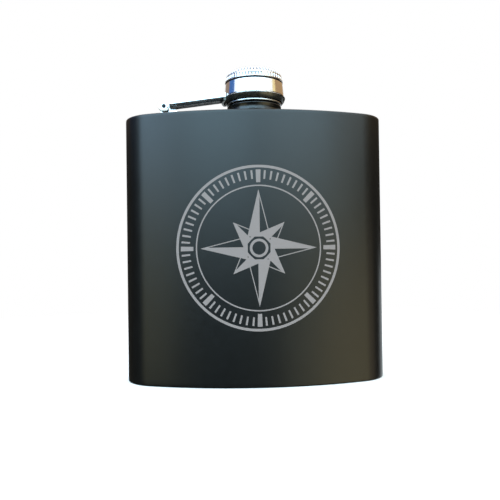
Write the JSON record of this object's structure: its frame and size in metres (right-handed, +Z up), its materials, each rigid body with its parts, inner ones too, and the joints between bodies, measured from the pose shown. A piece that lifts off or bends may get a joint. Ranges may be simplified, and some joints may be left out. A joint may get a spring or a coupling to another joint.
{
  "type": "hip flask",
  "caption": "Curved pocket hip flask with a matte coated steel body, a threaded neck and a captive screw cap on a hinged arm.",
  "frame": {"origin": "middle of the base, at the level that the flask stands on", "axes": "+Z up through the body, -Y out of the rounded front, +X to the right seen from the front"},
  "size_m": [0.095, 0.0263, 0.1125],
  "materials": {
    "body_coat": "matte powder coat, fine texture",
    "neck_steel": "bare turned steel spout above a coated collar",
    "polished_steel": "polished pressed steel",
    "pin_steel": "plain drawn wire, darkened ends",
    "seal_silicone": "matte translucent white silicone",
    "thread_steel": "bare drawn and rolled steel",
    "core_plastic": "moulded black plastic",
    "cap_steel": "polished skirt under a knurled rim"
  },
  "bodies": {
    "flask": {"body_wall": "body_coat", "top_plate": "body_coat", "base_plate": "body_coat", "neck": "neck_steel", "hinge_bracket": "polished_steel"},
    "arm": {"cap_arm": "polished_steel", "hinge_pin": "pin_steel"},
    "seal": {"cap_seal": "seal_silicone"},
    "cap": {"thread_cup": "thread_steel", "cap_core": "core_plastic", "cap_shell": "cap_steel"}
  },
  "joints": [
    {"name": "arm_hinge", "type": "hinge", "parent": "flask", "child": "arm", "pos_m": [-0.0323, -0.00157, 0.09885], "axis": [0, -1, 0], "range_deg": [0, 174]},
    {"name": "cap_lift", "type": "slide", "parent": "arm", "child": "seal", "axis": [0, 0, 1], "range_m": [0, 0.00161]},
    {"name": "cap_spin", "type": "hinge", "parent": "seal", "child": "cap", "pos_m": [0, -0.00157, 0.09885], "axis": [0, 0, 1], "range_deg": [0, 360]}
  ],
  "couplings": [
    {"joint": "cap_lift", "follows": "cap_spin", "m_per_rad": 0.00025465}
  ]
}
